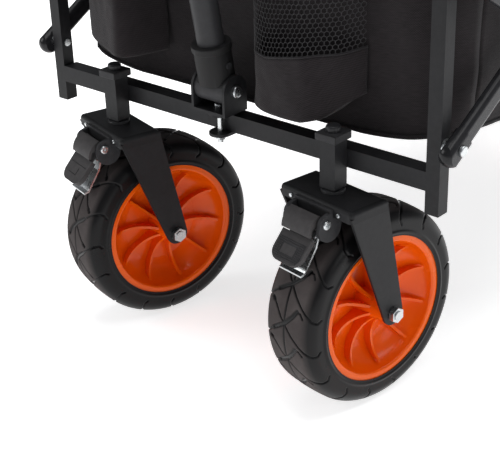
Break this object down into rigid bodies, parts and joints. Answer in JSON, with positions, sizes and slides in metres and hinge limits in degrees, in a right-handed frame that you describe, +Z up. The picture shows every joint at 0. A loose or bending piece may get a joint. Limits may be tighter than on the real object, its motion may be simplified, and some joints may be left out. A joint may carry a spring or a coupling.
{
  "type": "folding beach cart",
  "caption": "Folding utility cart with fabric bag, scissor side links, big swivelling front wheels with foot brakes, and a telescopic pull handle.",
  "frame": {"origin": "middle of the part's box in plan, on the ground under the wheels", "axes": "+X across the cart to the right-hand side of someone facing its front, -Y to the front with the pull handle, +Z up"},
  "size_m": [0.6012, 1.0624, 0.8665],
  "materials": {
    "frame_black": "satin black powder coat",
    "link_black": "glossy black paint",
    "plastic_black": "satin moulded black",
    "zinc": "zinc plated",
    "tyre": "matte rubber",
    "rim_orange": "glossy moulded orange",
    "fabric": "woven polyester"
  },
  "bodies": {
    "front_frame": {"front_posts": "frame_black", "front_crossbars": "frame_black", "front_caps": "plastic_black", "caster_stems": "frame_black", "caster_kingpins": "zinc", "front_link_pins": "zinc", "handle_swivel_bolt": "zinc", "bag_front_panel": "fabric", "bag_side_panels": "fabric", "bag_floor": "fabric", "cup_pocket": "fabric", "mesh_pocket": "fabric"},
    "front_lower_link": {"front_lower_links": "link_black", "front_lower_link_caps": "plastic_black", "front_link_bolts": "zinc"},
    "front_upper_link": {"front_upper_links": "link_black", "centre_cross_tube": "frame_black"},
    "rear_lower_link": {"rear_lower_links": "link_black", "rear_link_bolts": "zinc"},
    "rear_upper_link": {"rear_upper_links": "link_black"},
    "rear_frame": {"rear_posts": "frame_black", "rear_crossbars": "frame_black", "rear_caps": "plastic_black", "rear_kingpins": "zinc", "rear_forks": "frame_black", "rear_axles": "zinc", "rear_link_pins": "zinc", "bag_rear_panel": "fabric"},
    "front_slider": {"front_sliders": "plastic_black"},
    "rear_slider": {"rear_sliders": "plastic_black"},
    "handle_base": {"handle_bracket": "frame_black", "handle_cross_bolt": "zinc"},
    "handle": {"handle_socket": "plastic_black", "handle_lower_tube": "frame_black", "handle_collar": "plastic_black"},
    "handle_extension": {"handle_upper_tube": "frame_black", "handle_grip": "plastic_black"},
    "handle_button": {"handle_lock_button": "plastic_black"},
    "caster_left": {"caster_fork_left": "frame_black", "brake_housing_left": "plastic_black", "brake_fixings_left": "zinc", "front_axle_left": "zinc"},
    "front_wheel_left": {"front_tyre_left": "tyre", "front_rim_left": "rim_orange"},
    "brake_pedal_left": {"brake_pedal_left": "plastic_black", "brake_plate_left": "zinc"},
    "brake_release_left": {"brake_release_left": "plastic_black"},
    "rear_wheel_left": {"rear_tyre_left": "tyre", "rear_rim_left": "rim_orange"},
    "caster_right": {"caster_fork_right": "frame_black", "brake_housing_right": "plastic_black", "brake_fixings_right": "zinc", "front_axle_right": "zinc"},
    "front_wheel_right": {"front_tyre_right": "tyre", "front_rim_right": "rim_orange"},
    "brake_pedal_right": {"brake_pedal_right": "plastic_black", "brake_plate_right": "zinc"},
    "brake_release_right": {"brake_release_right": "plastic_black"},
    "rear_wheel_right": {"rear_tyre_right": "tyre", "rear_rim_right": "rim_orange"}
  },
  "joints": [
    {"name": "fold", "type": "hinge", "parent": "front_frame", "child": "front_lower_link", "pos_m": [0, -0.41279, 0.3097], "axis": [1, 0, 0], "range_deg": [0, 44], "deforming": ["bag_side_panels", "bag_floor"]},
    {"name": "front_crossing", "type": "hinge", "parent": "front_lower_link", "child": "front_upper_link", "pos_m": [0, -0.27855, 0.3872], "axis": [1, 0, 0], "range_deg": [-88, 0]},
    {"name": "top_centre", "type": "hinge", "parent": "front_lower_link", "child": "rear_lower_link", "pos_m": [0, -0.02308, 0.5347], "axis": [1, 0, 0], "range_deg": [-88, 0]},
    {"name": "rear_crossing", "type": "hinge", "parent": "rear_lower_link", "child": "rear_upper_link", "pos_m": [0, 0.2324, 0.3872], "axis": [1, 0, 0], "range_deg": [0, 88]},
    {"name": "rear_frame_pivot", "type": "hinge", "parent": "rear_lower_link", "child": "rear_frame", "pos_m": [0, 0.36664, 0.3097], "axis": [1, 0, 0], "range_deg": [0, 44]},
    {"name": "front_slider_pivot", "type": "hinge", "parent": "front_upper_link", "child": "front_slider", "pos_m": [0, -0.41279, 0.4647], "axis": [1, 0, 0], "range_deg": [0, 44]},
    {"name": "rear_slider_pivot", "type": "hinge", "parent": "rear_upper_link", "child": "rear_slider", "pos_m": [0, 0.36664, 0.4647], "axis": [1, 0, 0], "range_deg": [-44, 0]},
    {"name": "handle_steer", "type": "hinge", "parent": "front_frame", "child": "handle_base", "pos_m": [0, -0.42529, 0.3127], "axis": [0, 0, 1], "range_deg": [-40, 40]},
    {"name": "handle_tilt", "type": "hinge", "parent": "handle_base", "child": "handle", "pos_m": [0, -0.42529, 0.3127], "axis": [1, 0, 0], "range_deg": [-4, 80]},
    {"name": "handle_extend", "type": "slide", "parent": "handle", "child": "handle_extension", "axis": [0, -0.1685, 0.9857], "range_m": [0, 0.24]},
    {"name": "handle_lock", "type": "slide", "parent": "handle", "child": "handle_button", "axis": [0, 0.9857, 0.1685], "range_m": [0, 0.002], "stiffness_N_per_m": 300},
    {"name": "caster_swivel_left", "type": "hinge", "parent": "front_frame", "child": "caster_left", "pos_m": [-0.1514, -0.43019, 0.241], "axis": [0, 0, 1], "continuous": true},
    {"name": "front_wheel_spin_left", "type": "hinge", "parent": "caster_left", "child": "front_wheel_left", "pos_m": [-0.14104, -0.39124, 0.1075], "axis": [0.9664, -0.2571, 0], "continuous": true},
    {"name": "brake_press_left", "type": "hinge", "parent": "caster_left", "child": "brake_pedal_left", "pos_m": [-0.16001, -0.46256, 0.224], "axis": [0.9664, -0.2571, 0], "range_deg": [0, 5.5]},
    {"name": "brake_release_left", "type": "hinge", "parent": "caster_left", "child": "brake_release_left", "pos_m": [-0.16001, -0.46256, 0.224], "axis": [0.9664, -0.2571, 0], "range_deg": [-2.75, 0]},
    {"name": "rear_wheel_spin_left", "type": "hinge", "parent": "rear_frame", "child": "rear_wheel_left", "pos_m": [-0.1514, 0.42374, 0.1075], "axis": [1, 0, 0], "continuous": true},
    {"name": "caster_swivel_right", "type": "hinge", "parent": "front_frame", "child": "caster_right", "pos_m": [0.1514, -0.43019, 0.241], "axis": [0, 0, 1], "continuous": true},
    {"name": "front_wheel_spin_right", "type": "hinge", "parent": "caster_right", "child": "front_wheel_right", "pos_m": [0.15722, -0.39031, 0.1075], "axis": [0.9895, -0.1444, 0], "continuous": true},
    {"name": "brake_press_right", "type": "hinge", "parent": "caster_right", "child": "brake_pedal_right", "pos_m": [0.14656, -0.46334, 0.224], "axis": [0.9895, -0.1444, 0], "range_deg": [0, 5.5]},
    {"name": "brake_release_right", "type": "hinge", "parent": "caster_right", "child": "brake_release_right", "pos_m": [0.14656, -0.46334, 0.224], "axis": [0.9895, -0.1444, 0], "range_deg": [-2.75, 0]},
    {"name": "rear_wheel_spin_right", "type": "hinge", "parent": "rear_frame", "child": "rear_wheel_right", "pos_m": [0.1514, 0.42374, 0.1075], "axis": [1, 0, 0], "continuous": true}
  ],
  "couplings": [
    {"joint": "front_crossing", "follows": "fold", "ratio": -2},
    {"joint": "top_centre", "follows": "fold", "ratio": -2},
    {"joint": "rear_crossing", "follows": "fold", "ratio": 2},
    {"joint": "rear_frame_pivot", "follows": "fold", "ratio": 1},
    {"joint": "front_slider_pivot", "follows": "fold", "ratio": 1},
    {"joint": "rear_slider_pivot", "follows": "fold", "ratio": -1},
    {"joint": "brake_release_left", "follows": "brake_press_left", "ratio": -0.5},
    {"joint": "brake_release_right", "follows": "brake_press_right", "ratio": -0.5}
  ]
}
